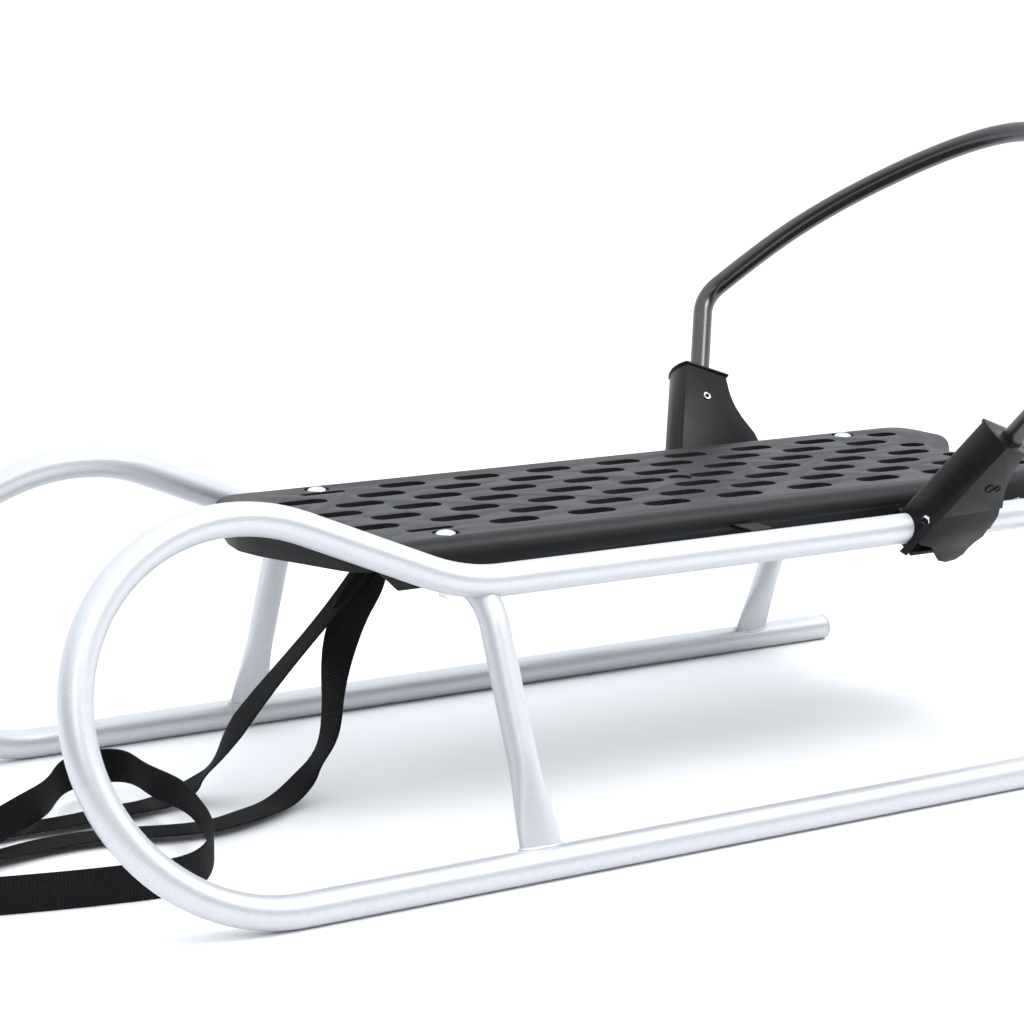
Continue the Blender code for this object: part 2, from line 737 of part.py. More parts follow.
def column(name, half, bulge, back, low, high):
    """A bar with a rounded front that leans back with the hoop's leg."""
    outline = []
    for k in range(9):
        share = k / 4 - 1
        outline.append((BRACKET_CREASE - back
                        - bulge * (1 - share ** 2), half * share))
    rear = BRACKET_CREASE + BRACKET_REACH
    outline += [(rear, half), (rear, -half)]
    obj = prism(name, [outline], (high - low) / 2, Matrix.Identity(4))
    origin = Vector((RAIL.x, 0.0, RAIL.z)) + SIDE_AXIS * HOOP_OFFSET
    for v in obj.data.vertices:
        up = (low + high) / 2 + v.co.z
        v.co = (origin + Vector((0.0, v.co.x, 0.0)) + SIDE_AXIS * v.co.y
                + HOOP_DIR * (up / CLIMB))
    return obj


def keep(obj, other):
    return boolean(obj, other, "INTERSECT")


# The body's side view, its outer side cut shorter than its inner side
ahead = BRACKET_CREASE - 4 * BRACKET_BULGE
side_view = ((ahead, BRACKET_LOW), BRACKET_TOP) + BRACKET_INNER
body = prism("body", [side_view], 1.2 * BRACKET_HALF,
             bracket_plane(HOOP_OFFSET))
outer_view = ((ahead, BRACKET_LOW), BRACKET_TOP) + BRACKET_OUTER
for v in body.data.vertices:
    if v.co.z > 0:
        near = min(range(len(side_view)), key=lambda i: (
            Vector(side_view[i]) - v.co.xy).length)
        v.co.xy = outer_view[near]
bm = bmesh.new()
bm.from_mesh(body.data)
bmesh.ops.triangulate(bm, faces=bm.faces)
bm.to_mesh(body.data)
bm.free()
keep(body, column("column", BRACKET_HALF, BRACKET_BULGE, 0.0,
                  2 * BRACKET_LOW, BRACKET_REACH))
boolean(body, clear_left)
boolean(body, socket)
slot_half = TUBE_R + GAP
below = 2 * BRACKET_LOW
boolean(body, prism("opening", [((ahead, below), (0.46, below), (0.46, 0.0),
                                 (ahead, 0.0))],
                    slot_half, bracket_plane(0.0)))
lean = HOOP_DIR.y / CLIMB
pocket = (STEP[0], (STEP[1][0] + 0.02, STEP[1][1]),
          (STEP[1][0] + 0.02, below),
          (STEP[0][0] - lean * (STEP[0][1] - below), below))
boolean(body, prism("pocket", [pocket], BRACKET_HALF,
                    bracket_plane(slot_half + BRACKET_HALF)))
body = baked(body, "bracket_left")
finish(body, BRACKET_BLACK)
finish(mirrored(body, "bracket_right"), BRACKET_BLACK)

# Cap on the bracket's slanted top
front = Vector(BRACKET_TOP)
rear = Vector(BRACKET_INNER[0])
slope = (rear - front).normalized()
lift = Vector((-slope.y, slope.x))
a = front + lift * GAP
b = rear + slope * CAP_LIP + lift * GAP
cap = prism("cap", [(a, b, b + lift * CAP_THICK, a + lift * CAP_THICK)],
            1.2 * BRACKET_HALF, bracket_plane(HOOP_OFFSET))
keep(cap, column("cap_column", BRACKET_HALF + CAP_LIP, BRACKET_BULGE,
                 CAP_LIP, BRACKET_REACH / 2, BRACKET_REACH))
boolean(cap, socket)
cap = baked(cap, "bracket_cap_left")
finish(cap, BRACKET_BLACK)
finish(mirrored(cap, "bracket_cap_right"), BRACKET_BLACK)

# Clamp jaw: outer plate, bar under the rail and inner lip
outer = slot_half + JAW_THICK / 2
inner = HOOP_OFFSET - BRACKET_HALF - GAP - JAW_THICK / 2
bar_top = -(TUBE_R + GAP)
bar_low = bar_top - JAW_THICK
jaw = prism("jaw", [JAW_PROFILE], JAW_THICK / 2, bracket_plane(outer))
bar = prism("bar", [((JAW_BAR[0], bar_low), (JAW_BAR[1], bar_low),
                     (JAW_BAR[1], bar_top), (JAW_BAR[0], bar_top))],
            (outer - inner) / 2 + JAW_THICK * 0.25,
            bracket_plane((outer + inner) / 2))
lip = prism("lip", [((JAW_BAR[0], bar_low), (JAW_BAR[1], bar_low),
                     (JAW_BAR[1], 0.004), (JAW_BAR[0], 0.004))],
            JAW_THICK / 2, bracket_plane(inner))
boolean(jaw, bar, "UNION")
boolean(jaw, lip, "UNION")
jaw = baked(jaw, "clamp_jaw_left")
finish(jaw, BRACKET_BLACK)
finish(mirrored(jaw, "clamp_jaw_right"), BRACKET_BLACK)

# Tow strap
# The strap is looped round the front bow and lies in a loose loop
mesh = bpy.data.meshes.new("strap_loop")
bm = bmesh.new()
bmesh.ops.create_cone(bm, cap_ends=False, segments=20,
                      radius1=BOW_R + GAP, radius2=BOW_R + GAP,
                      depth=STRAP_W)
bm.to_mesh(mesh)
bm.free()
loop = bpy.data.objects.new("strap_loop", mesh)
loop.matrix_world = (Matrix.Translation((0.0, BOW_FRONT_Y, BOW_Z))
                     @ Matrix.Rotation(math.pi / 2, 4, "Y"))
CUTTERS.objects.link(loop)
shell = loop.modifiers.new("webbing", "SOLIDIFY")
shell.thickness = STRAP_T
shell.offset = 1.0
finish(baked(loop, "strap_loop"), WEBBING)

LEAVE_R = BOW_R + STRAP_T + 3 * GAP   # the ends meet the wrapped webbing


def leaving(x, degrees):
    """A point just off the wrapped webbing, forward of straight down."""
    a = math.radians(degrees)
    return (x, BOW_FRONT_Y - LEAVE_R * math.sin(a),
            BOW_Z - LEAVE_R * math.cos(a))


STRAP_ROUTE = (
    leaving(-0.004, 38), (-0.006, -0.022, 0.146), (-0.018, -0.084, 0.076),
    (-0.034, -0.102, 0.042), (-0.048, -0.116, 0.016), (-0.050, -0.138, 0.006),
    (-0.044, -0.168, 0.006), (-0.039, -0.214, 0.006), (-0.046, -0.315, 0.008),
    (-0.030, -0.356, 0.013), (0.006, -0.350, 0.014), (-0.002, -0.300, 0.016),
    (-0.026, -0.256, 0.021), (-0.074, -0.214, 0.018), (-0.104, -0.184, 0.020),
    (-0.092, -0.162, 0.024), (-0.044, -0.156, 0.026), (0.008, -0.152, 0.026),
    (0.052, -0.158, 0.024), (0.095, -0.170, 0.018), (0.120, -0.193, 0.013),
    (0.125, -0.236, 0.013), (0.116, -0.280, 0.013), (0.104, -0.325, 0.013),
    (0.086, -0.362, 0.013), (0.055, -0.372, 0.0135), (0.032, -0.345, 0.0115),
    (0.014, -0.300, 0.007), (0.003, -0.255, 0.006), (0.003, -0.209, 0.006),
    (0.015, -0.170, 0.006), (0.021, -0.134, 0.006), (0.010, -0.100, 0.006),
    (-0.007, -0.068, 0.007), (-0.014, -0.044, 0.022), (-0.008, -0.032, 0.050),
    (-0.003, -0.031, 0.080), (0.001, -0.027, 0.115), (0.005, -0.014, 0.147),
    leaving(0.008, 24))
strap = tube("tow_strap", smooth_curve(STRAP_ROUTE, 78), STRAP_TUBE_R, 2)
finish(strap, WEBBING)

# Origin under the box centre
bpy.context.view_layer.update()
low, high = 1e9, -1e9
for obj in list(SLED.objects):
    if obj.name in ("tow_strap", "strap_loop"):
        continue
    for v in obj.data.vertices:
        y = (obj.matrix_world @ v.co).y
        low, high = min(low, y), max(high, y)
shift = Vector((0.0, -(low + high) / 2, 0.0))
for obj in list(SLED.objects):
    obj.matrix_world = Matrix.Translation(shift) @ obj.matrix_world
for obj in list(CUTTERS.objects):
    cutter(obj)
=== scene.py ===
# A child's sled: two bent silver tubes, black slotted seat, black push hoop
# in clamped brackets, and a webbing tow strap lying in a loose heap.
import math

import bmesh
import bpy
import numpy as np
from mathutils import Matrix, Vector, noise


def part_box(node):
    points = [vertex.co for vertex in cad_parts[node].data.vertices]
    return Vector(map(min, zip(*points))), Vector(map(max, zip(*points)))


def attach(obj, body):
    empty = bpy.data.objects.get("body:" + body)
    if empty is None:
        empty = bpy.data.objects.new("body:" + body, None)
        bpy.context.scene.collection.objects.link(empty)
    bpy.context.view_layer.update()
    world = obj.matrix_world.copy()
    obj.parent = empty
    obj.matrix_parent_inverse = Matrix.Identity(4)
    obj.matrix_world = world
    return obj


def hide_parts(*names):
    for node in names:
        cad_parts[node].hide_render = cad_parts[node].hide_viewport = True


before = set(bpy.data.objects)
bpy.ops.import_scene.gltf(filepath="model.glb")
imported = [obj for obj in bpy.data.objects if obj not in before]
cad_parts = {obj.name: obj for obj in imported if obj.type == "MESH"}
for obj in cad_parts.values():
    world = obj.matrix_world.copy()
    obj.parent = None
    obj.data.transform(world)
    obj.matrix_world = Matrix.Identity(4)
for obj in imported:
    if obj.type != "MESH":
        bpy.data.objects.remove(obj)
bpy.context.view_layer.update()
MM = 0.001

# Camera. It stands low beside the sled's left front corner, looks back
# along the seat, and sees only the front half of the push hoop.
bow_low, bow_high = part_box("front_bow")
FRONT_BOW = (bow_low.y + bow_high.y) / 2
ORIGIN_Y = FRONT_BOW - 5 * MM         # where the drawing's y = 0 lies

camera = bpy.data.objects.new("camera", bpy.data.cameras.new("camera"))
camera.data.sensor_width = 36
camera.data.lens = 94.22
camera.location = (1.620, -0.865 + ORIGIN_Y, 0.554)
camera.rotation_euler = (math.radians(79.24), 0, math.radians(58.86))
bpy.context.scene.collection.objects.link(camera)
bpy.context.scene.camera = camera
bpy.context.scene.view_settings.view_transform = "Standard"


# Tow strap. A flat woven webbing, 25 mm wide, is looped round the middle of
# the front bow. Both runs hang down and lie on the floor in one long loop,
# mostly standing on their edge as stiff webbing does.
def srgb(code):
    """A hex colour as the linear values that a shader takes."""
    parts = [int(code[i:i + 2], 16) / 255 for i in (1, 3, 5)]
    return tuple(c / 12.92 if c < 0.04045 else ((c + 0.055) / 1.055) ** 2.4
                 for c in parts) + (1.0,)


def add(tree, kind, sockets=(), **settings):
    """A node with its settings; a socket's value is a number or a link."""
    made = tree.nodes.new(kind)
    for name, value in settings.items():
        setattr(made, name, value)
    for name, value in dict(sockets).items():
        socket = made.inputs[name]
        if isinstance(value, bpy.types.NodeSocket):
            tree.links.new(value, socket)
        else:
            socket.default_value = value
    return made


def new_material(name):
    """An empty material with its output, and its node tree."""
    mat = bpy.data.materials.new(name)
    mat.use_nodes = True
    mat.node_tree.nodes.clear()
    return mat, mat.node_tree


def surface(tree, sockets):
    """The shader that a material ends in."""
    shader = add(tree, "ShaderNodeBsdfPrincipled", sockets)
    add(tree, "ShaderNodeOutputMaterial", {"Surface": shader.outputs[0]})


def woven_polyester():
    """Polyester webbing, woven: dull black with close cross ribs."""
    mat, t = new_material("woven_polyester_webbing")
    uv = add(t, "ShaderNodeUVMap", uv_map="weave").outputs[0]
    split = add(t, "ShaderNodeSeparateXYZ", {"Vector": uv})
    # a weft rib every 2.4 mm, and a warp cord every 1.8 mm
    ribs = add(t, "ShaderNodeMath", {0: split.outputs[1], 1: 2 * math.pi / 2.4},
               operation="MULTIPLY")
    wave = add(t, "ShaderNodeMath", {0: ribs.outputs[0]}, operation="SINE")
    cords = add(t, "ShaderNodeMath", {0: split.outputs[0],
                                      1: 2 * math.pi / 1.8},
                operation="MULTIPLY")
    warp = add(t, "ShaderNodeMath", {0: cords.outputs[0]}, operation="SINE")
    both = add(t, "ShaderNodeMath", {0: warp.outputs[0], 1: 0.45,
                                     2: wave.outputs[0]},
               operation="MULTIPLY_ADD")
    fibre = add(t, "ShaderNodeTexNoise", {"Vector": uv, "Scale": 3.0,
                                          "Detail": 4.0})
    height = add(t, "ShaderNodeMath", {0: fibre.outputs[0], 1: 1.2,
                                       2: both.outputs[0]},
                 operation="MULTIPLY_ADD")
    bump = add(t, "ShaderNodeBump", {"Height": height.outputs[0],
                                     "Strength": 0.55, "Distance": 0.0004})
    tone = add(t, "ShaderNodeMapRange", {"Value": height.outputs[0],
                                         "From Min": -1.2, "From Max": 2.0})
    shade = add(t, "ShaderNodeMix", {"Factor": tone.outputs[0],
                                     "A": srgb("#020202"),
                                     "B": srgb("#101012")}, data_type="RGBA")
    surface(t, {"Base Color": shade.outputs["Result"], "Roughness": 0.8,
                "Specular IOR Level": 0.2, "Normal": bump.outputs[0]})
    return mat


def smooth_route(points, count):
    """A smooth curve through the points, evenly spaced along it."""
    p = np.array(points, float)
    t = np.concatenate(([0.0], np.cumsum(
        np.linalg.norm(np.diff(p[:, :3], axis=0), axis=1))))
    n, h = len(p), np.diff(t)
    a, r = np.zeros((n, n)), np.zeros((n, p.shape[1]))
    a[0, 0] = a[-1, -1] = 1.0
    for i in range(1, n - 1):
        a[i, i - 1:i + 2] = h[i - 1], 2 * (h[i - 1] + h[i]), h[i]
        r[i] = 6 * ((p[i + 1] - p[i]) / h[i] - (p[i] - p[i - 1]) / h[i - 1])
    m = np.linalg.solve(a, r)
    fine = []
    for u in np.linspace(0, t[-1], 40 * n):
        i = min(max(int(np.searchsorted(t, u)) - 1, 0), n - 2)
        left, right = t[i + 1] - u, u - t[i]
        fine.append((m[i] * left ** 3 + m[i + 1] * right ** 3) / (6 * h[i])
                    + (p[i] / h[i] - m[i] * h[i] / 6) * left
                    + (p[i + 1] / h[i] - m[i + 1] * h[i] / 6) * right)
    fine = np.array(fine)
    s = np.concatenate(([0.0], np.cumsum(
        np.linalg.norm(np.diff(fine[:, :3], axis=0), axis=1))))
    return [[float(np.interp(u, s, fine[:, k])) for k in range(p.shape[1])]
            for u in np.linspace(0, s[-1], count)]


def directions(path):
    """The unit direction of travel at each point of a path."""
    last = len(path) - 1
    return [(path[min(i + 1, last)] - path[max(i - 1, 0)]).normalized()
            for i in range(last + 1)]


def station(at, along, across):
    """Where a cross-section stands: its x across, its z along."""
    x = (across - along * across.dot(along)).normalized()
    y = along.cross(x)
    m = Matrix.Identity(4)
    for row in range(3):
        m[row][0], m[row][1], m[row][2], m[row][3] = (
            x[row], y[row], along[row], at[row])
    return m


def drawn_along(bm, ring, stations, fill=True):
    """Extrudes a ring of edges from station to station."""
    travel = bm.verts.layers.float.get("along")
    verts = list({v for e in ring for v in e.verts})
    if fill:
        bmesh.ops.contextual_create(bm, geom=ring)
    bmesh.ops.transform(bm, matrix=stations[0], verts=verts)
    gone = 0.0
    for before, after in zip(stations, stations[1:]):
        made = bmesh.ops.extrude_edge_only(bm, edges=ring)["geom"]
        ring = [g for g in made if isinstance(g, bmesh.types.BMEdge)]
        verts = [g for g in made if isinstance(g, bmesh.types.BMVert)]
        bmesh.ops.transform(bm, matrix=after @ before.inverted(), verts=verts)
        gone += (after.translation - before.translation).length
        if travel:
            for v in verts:
                v[travel] = gone
    if fill:
        bmesh.ops.contextual_create(bm, geom=ring)
    bmesh.ops.recalc_face_normals(bm, faces=bm.faces)


def piece(bm, name, mat, stands_for=(), sharp=35):
    """The finished mesh as a piece that rides on the sled's one body."""
    mesh = bpy.data.meshes.new(name)
    bm.to_mesh(mesh)
    bm.free()
    mesh.materials.append(mat)
    mesh.shade_smooth()
    mesh.set_sharp_from_angle(angle=math.radians(sharp))
    obj = bpy.data.objects.new(name, mesh)
    bpy.context.scene.collection.objects.link(obj)
    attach(obj, "root")
    if stands_for:
        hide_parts(*stands_for)
    return obj


WEBBING_W, WEBBING_T = 25 * MM, 1.8 * MM
BOW_R = 10 * MM
BOW_Z = bow_high.z - BOW_R


def webbing(bm, stations, name, mat, stands_for):
    """A length of webbing, its weave laid out in millimetres."""
    across = bm.verts.layers.float.new("across")
    travel = bm.verts.layers.float.new("along")
    ring = bmesh.ops.create_circle(bm, segments=24, radius=1.0)["verts"]
    for v in ring:
        x, y = v.co.x, v.co.y
        v.co.x = math.copysign(abs(x) ** 0.4, x) * WEBBING_W / 2
        v.co.y = math.copysign(abs(y) ** 0.5, y) * WEBBING_T / 2
        v[across] = v.co.x / MM
    drawn_along(bm, list(bm.edges), stations)
    uv = bm.loops.layers.uv.new("weave")
    for face in bm.faces:
        for loop in face.loops:
            loop[uv].uv = loop.vert[across], loop.vert[travel] / MM
    return piece(bm, name, mat, stands_for)


WEBBING = woven_polyester()


def off_the_wrap(x, degrees, reach=12.9 * MM):
    """A point just off the webbing round the bow, forward of below it."""
    a = math.radians(degrees)
    return (x, 5 * MM - reach * math.sin(a), BOW_Z - reach * math.cos(a))


# Route points with the webbing's tilt: 0 lies flat, 90 stands on its edge
ROUTE = (
    (*off_the_wrap(-0.004, 38), 0), (-0.006, -0.022, 0.146, -6),
    (-0.018, -0.084, 0.076, -12), (-0.034, -0.102, 0.042, -6),
    (-0.048, -0.116, 0.016, 6), (-0.050, -0.138, 0.006, 3),
    (-0.044, -0.168, 0.006, 0), (-0.039, -0.214, 0.006, 0),
    (-0.046, -0.315, 0.008, 30), (-0.030, -0.356, 0.013, 70),
    (0.006, -0.350, 0.014, 90), (-0.002, -0.300, 0.016, 90),
    (-0.026, -0.256, 0.021, 90), (-0.074, -0.214, 0.018, 90),
    (-0.104, -0.184, 0.020, 90), (-0.092, -0.162, 0.024, 90),
    (-0.044, -0.156, 0.026, 90), (0.008, -0.152, 0.026, 90),
    (0.052, -0.158, 0.024, 90), (0.095, -0.170, 0.018, 90),
    (0.120, -0.193, 0.013, 90), (0.125, -0.236, 0.013, 90),
    (0.116, -0.280, 0.013, 90), (0.104, -0.325, 0.013, 90),
    (0.086, -0.362, 0.013, 90), (0.055, -0.372, 0.0135, 75),
    (0.032, -0.345, 0.0115, 45), (0.014, -0.300, 0.007, 12),
    (0.003, -0.255, 0.006, 0), (0.003, -0.209, 0.006, 0),
    (0.015, -0.170, 0.006, 0), (0.021, -0.134, 0.006, 0),
    (0.010, -0.100, 0.006, 0), (-0.007, -0.068, 0.007, 0),
    (-0.014, -0.044, 0.022, 0), (-0.008, -0.032, 0.050, -4),
    (-0.003, -0.031, 0.080, -12), (0.001, -0.027, 0.115, -40),
    (0.005, -0.014, 0.147, -50), (*off_the_wrap(0.008, 24), 0))
route = smooth_route(ROUTE, 420)
path = [Vector((x, y + ORIGIN_Y, z)) for x, y, z, _ in route]
stations = []
for at, along, (_, _, _, tilt) in zip(path, directions(path), route):
    steep = min(max((at.z - 20 * MM) / (40 * MM), 0), 1)
    level = along.cross(Vector((0, -steep, 1 - steep))).normalized()
    a = math.radians(tilt)
    stations.append(station(at, along, level * math.cos(a)
                            + level.cross(along) * math.sin(a)))
strap = webbing(bmesh.new(), stations, "webbing_strap", WEBBING, ["tow_strap"])

wrap = []
for k in range(41):
    a = math.radians(-62 + 304 * k / 40)
    out = Vector((0, -math.sin(a), math.cos(a)))
    wrap.append(station(
        Vector((0, FRONT_BOW, BOW_Z)) + out * (BOW_R + WEBBING_T / 2 + 0.4 * MM),
        Vector((0, -math.cos(a), -math.sin(a))), Vector((1, 0, 0))))
webbing(bmesh.new(), wrap, "strap_wrap", WEBBING, ["strap_loop"])


# Studio. A white floor under a large white canopy and a white wall behind
# and to the right; the room in front is dim, which keeps the blacks deep.
def white_floor():
    mat, t = new_material("white_studio_floor")
    surface(t, {"Base Color": srgb("#f7f7f8"), "Roughness": 0.9,
                "Specular IOR Level": 0.1})
    return mat


floor = bmesh.new()
bmesh.ops.create_grid(floor, x_segments=1, y_segments=1, size=12)
mesh = bpy.data.meshes.new("floor")
floor.to_mesh(mesh)
floor.free()
mesh.materials.append(white_floor())
floor = bpy.data.objects.new("floor", mesh)
bpy.context.scene.collection.objects.link(floor)

def lit_room():
    """White overhead and away to the right rear, dim to the left front."""
    world = bpy.data.worlds.new("studio")
    world.use_nodes = True
    t = world.node_tree
    t.nodes.clear()
    way = add(t, "ShaderNodeTexCoord").outputs["Generated"]
    behind = add(t, "ShaderNodeVectorMath", {0: way, 1: (-0.86, 0.51, 0.0)},
                 operation="DOT_PRODUCT").outputs["Value"]
    wall = add(t, "ShaderNodeMapRange", {
        "Value": behind, "From Min": -0.6, "From Max": 0.3, "To Min": 0.20,
        "To Max": 1.45}, interpolation_type="SMOOTHSTEP")
    height = add(t, "ShaderNodeSeparateXYZ", {"Vector": way}).outputs[2]
    canopy = add(t, "ShaderNodeMapRange", {
        "Value": height, "From Min": 0.25, "From Max": 0.8, "To Min": 0.0,
        "To Max": 1.75}, interpolation_type="SMOOTHSTEP")
    light = add(t, "ShaderNodeMath", {0: wall.outputs[0],
                                      1: canopy.outputs[0]},
                operation="MAXIMUM").outputs[0]
    glow = add(t, "ShaderNodeBackground", {"Color": srgb("#f6faff"),
                                           "Strength": light})
    add(t, "ShaderNodeOutputWorld", {"Surface": glow.outputs[0]})
    return world


bpy.context.scene.world = lit_room()


def soft_light(name, at, aim, size, power):
    lamp = bpy.data.lights.new(name, "AREA")
    lamp.shape = "DISK"
    lamp.size = size
    lamp.energy = power
    obj = bpy.data.objects.new(name, lamp)
    obj.location = at
    obj.rotation_euler = (Vector(aim) - Vector(at)).to_track_quat(
        "-Z", "Y").to_euler()
    bpy.context.scene.collection.objects.link(obj)


soft_light("overhead", (1.3, 0.9, 2.1), (0, 0.1, 0.1), 1.3, 36)
soft_light("front", (1.8, -1.2, 1.5), (0, 0, 0.2), 0.8, 6)


# Side frames. Each is one 22 mm steel tube, bent cold on a former into
# runner, front loop and top rail, and painted with a satin silver lacquer.
def silver_lacquer():
    """Satin silver paint on steel: bright, with a fine metallic grain."""
    mat, t = new_material("silver_lacquer")
    place = add(t, "ShaderNodeTexCoord").outputs["Object"]
    # flakes drawn at 0.9 mm, coarser than real, so that they show
    flakes = add(t, "ShaderNodeTexNoise", {"Vector": place, "Scale": 1100.0,
                                           "Detail": 3.0})
    cloud = add(t, "ShaderNodeTexNoise", {"Vector": place, "Scale": 18.0,
                                          "Detail": 3.0})
    tone = add(t, "ShaderNodeMix", {"Factor": flakes.outputs[0],
                                    "A": srgb("#b7b9bd"),
                                    "B": srgb("#d8dadd")}, data_type="RGBA")
    rough = add(t, "ShaderNodeMapRange", {"Value": cloud.outputs[0],
                                          "To Min": 0.36, "To Max": 0.46})
    bump = add(t, "ShaderNodeBump", {"Height": flakes.outputs[0],
                                     "Strength": 0.10, "Distance": 0.0003})
    surface(t, {"Base Color": tone.outputs["Result"], "Metallic": 0.55,
                "Roughness": rough.outputs[0], "Normal": bump.outputs[0]})
    return mat


SILVER = silver_lacquer()
TUBE_R = 11 * MM
RUNNER_X = 220.5 * MM
LEAN = math.radians(23.26)


def arc(at, heading, radius, turn, steps):
    """Points of a bend in a plane, to the left for a positive turn."""
    points = []
    centre = at + Vector((-math.sin(heading), math.cos(heading))) * (
        math.copysign(radius, turn))
    for k in range(1, steps + 1):
        a = turn * k / steps
        arm = at - centre
        points.append(centre + Vector((arm.x * math.cos(a) - arm.y * math.sin(a),
                                       arm.x * math.sin(a) + arm.y * math.cos(a))))
    return points, heading + turn


def frame_line():
    """The tube's centreline in its own leaning plane, runner end first."""
    start = Vector((-167.5 * MM, 0))
    line = [Vector((567 * MM, 0)), Vector((200 * MM, 0)), start]
    loop, heading = arc(start, math.pi, 123 * MM,
                        -(math.pi + math.radians(24.6)), 56)
    line += loop
    knee = loop[-1] + Vector((math.cos(heading), math.sin(heading))) * 88.5 * MM
    line.append(knee)
    bend, heading = arc(knee, heading, 125 * MM, math.radians(24.6), 10)
    line += bend
    line += [Vector((250 * MM, bend[-1].y)), Vector((562 * MM, bend[-1].y))]
    return line


LINE = frame_line()


def on_frame(y, up, side=1):
    """A point of the leaning plane in the sled's axes."""
    return Vector((side * (RUNNER_X - up * math.sin(LEAN)), y + ORIGIN_Y,
                   TUBE_R + up * math.cos(LEAN)))


RAIL = on_frame(0, LINE[-1].y)


def round_bar(name, path, radius, mat, stands_for, sides=40, shape=None):
    """A bent round bar; shape may press its mesh before it is finished."""
    turn = Vector((0, 0, 1)) if abs(directions(path)[0].z) < 0.9 else Vector(
        (0, 1, 0))
    stands = []
    for at, along in zip(path, directions(path)):
        stands.append(station(at, along, turn))
        turn = stands[-1].col[0].to_3d()
    bm = bmesh.new()
    bmesh.ops.create_circle(bm, segments=sides, radius=radius)
    drawn_along(bm, list(bm.edges), stands)
    if shape:
        shape(bm)
    return piece(bm, name, mat, stands_for, sharp=50)


for side, word in ((1, "left"), (-1, "right")):
    round_bar("frame_tube_" + word, [on_frame(p.x, p.y, side) for p in LINE],
              TUBE_R, SILVER, ["side_frame_" + word], sides=48)


# End plugs. Moulded caps close the four open ends of the tubes; they are
# pressed in and show a fine joint line.
def merged(node):
    """A copy of a solid's mesh with its triangles joined up again."""
    bm = bmesh.new()
    bm.from_mesh(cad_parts[node].data)
    bmesh.ops.remove_doubles(bm, verts=bm.verts, dist=0.000005)
    bmesh.ops.dissolve_limit(bm, angle_limit=math.radians(0.6), verts=bm.verts,
                             edges=bm.edges)
    return bm


def silver_plastic():
    """Silver-grey moulded polyethylene: duller than the lacquer."""
    mat, t = new_material("silver_grey_polyethylene")
    place = add(t, "ShaderNodeTexCoord").outputs["Object"]
    grain = add(t, "ShaderNodeTexNoise", {"Vector": place, "Scale": 900.0})
    tone = add(t, "ShaderNodeMix", {"Factor": grain.outputs[0],
                                    "A": srgb("#b4b7bc"),
                                    "B": srgb("#c9ccd1")}, data_type="RGBA")
    surface(t, {"Base Color": tone.outputs["Result"], "Roughness": 0.5})
    return mat


PLUG = silver_plastic()
for word in ("left", "right"):
    for end in ("runner", "rail"):
        node = f"{end}_plug_{word}"
        piece(merged(node), f"{end}_end_cap_{word}", PLUG,
              [node])


# Cross bows. Two 20 mm tubes join the frames: the legs lean with them, are
# pressed flat at the foot and notched round the rail, and welded all round.
FOOT_LEN, FOOT_W, FOOT_T = 60 * MM, 31 * MM, 10 * MM
UP = Vector((-math.sin(LEAN), math.cos(LEAN)))
FOOT = Vector((RUNNER_X, TUBE_R))


def half_bow():
    """Half of a bow's centreline in x and z, from the foot upwards."""
    corner = FOOT + UP * ((BOW_Z - TUBE_R) / math.cos(LEAN))
    turn = math.pi / 2 - LEAN
    start = corner - UP * 40 * MM * math.tan(turn / 2)
    rise = (start - FOOT).length
    line = [FOOT + UP * rise * k / 24 for k in range(25)]
    bend, _ = arc(start, math.pi / 2 + LEAN, 40 * MM, turn, 16)
    return line + bend


HALF = half_bow()


def bow(name, y):
    line = [Vector((p.x, y, p.y)) for p in HALF]
    line += [Vector((-p.x, y, p.z)) for p in reversed(line)]

    def pressed(bm):
        for v in bm.verts:
            side = 1 if v.co.x > 0 else -1
            p = Vector((abs(v.co.x), v.co.z)) - FOOT
            along = p.dot(UP)
            if along > FOOT_LEN + TUBE_R:
                continue
            t = 1 - max(along - TUBE_R, 0) / FOOT_LEN
            t = t * t * (3 - 2 * t)
            thin = 1 + (FOOT_T / (2 * BOW_R) - 1) * t
            wide = 1 + (FOOT_W / (2 * BOW_R) - 1) * t
            p = FOOT + UP * along + (p - UP * along) * thin
            v.co = side * p.x, y + (v.co.y - y) * wide, p.y

    return round_bar(name + "_tube", line, BOW_R, SILVER,
                     [name], shape=pressed)


def bead(name, path, radius):
    """A weld: a round bead with the ripples of the torch, closed in a ring."""
    count = len(path)
    stands = []
    for i, at in enumerate(path):
        along = (path[(i + 1) % count] - path[i - 1]).normalized()
        stands.append(station(at, along, Vector((0.3, 0.2, 0.9))))
    bm = bmesh.new()
    bmesh.ops.create_circle(bm, segments=10, radius=radius)
    drawn_along(bm, list(bm.edges), stands)
    for v in bm.verts:
        v.co += noise.noise_vector(v.co * 400) * radius * 0.35
    piece(bm, name, SILVER, sharp=80)


for name, y in (("front_bow", FRONT_BOW), ("rear_bow", 487 * MM + ORIGIN_Y)):
    bow(name, y)
    for side, word in ((1, "left"), (-1, "right")):
        foot = []
        for k in range(49):
            a = 2 * math.pi * k / 48
            across = math.cos(a) * FOOT_T / 2
            lift = math.sqrt(TUBE_R ** 2 - across ** 2)
            p = FOOT + UP * lift + Vector((UP.y, -UP.x)) * across
            foot.append(Vector((side * p.x, y + math.sin(a) * FOOT_W / 2, p.y)))
        bead(f"{name}_foot_weld_{word}", foot, 1.5 * MM)


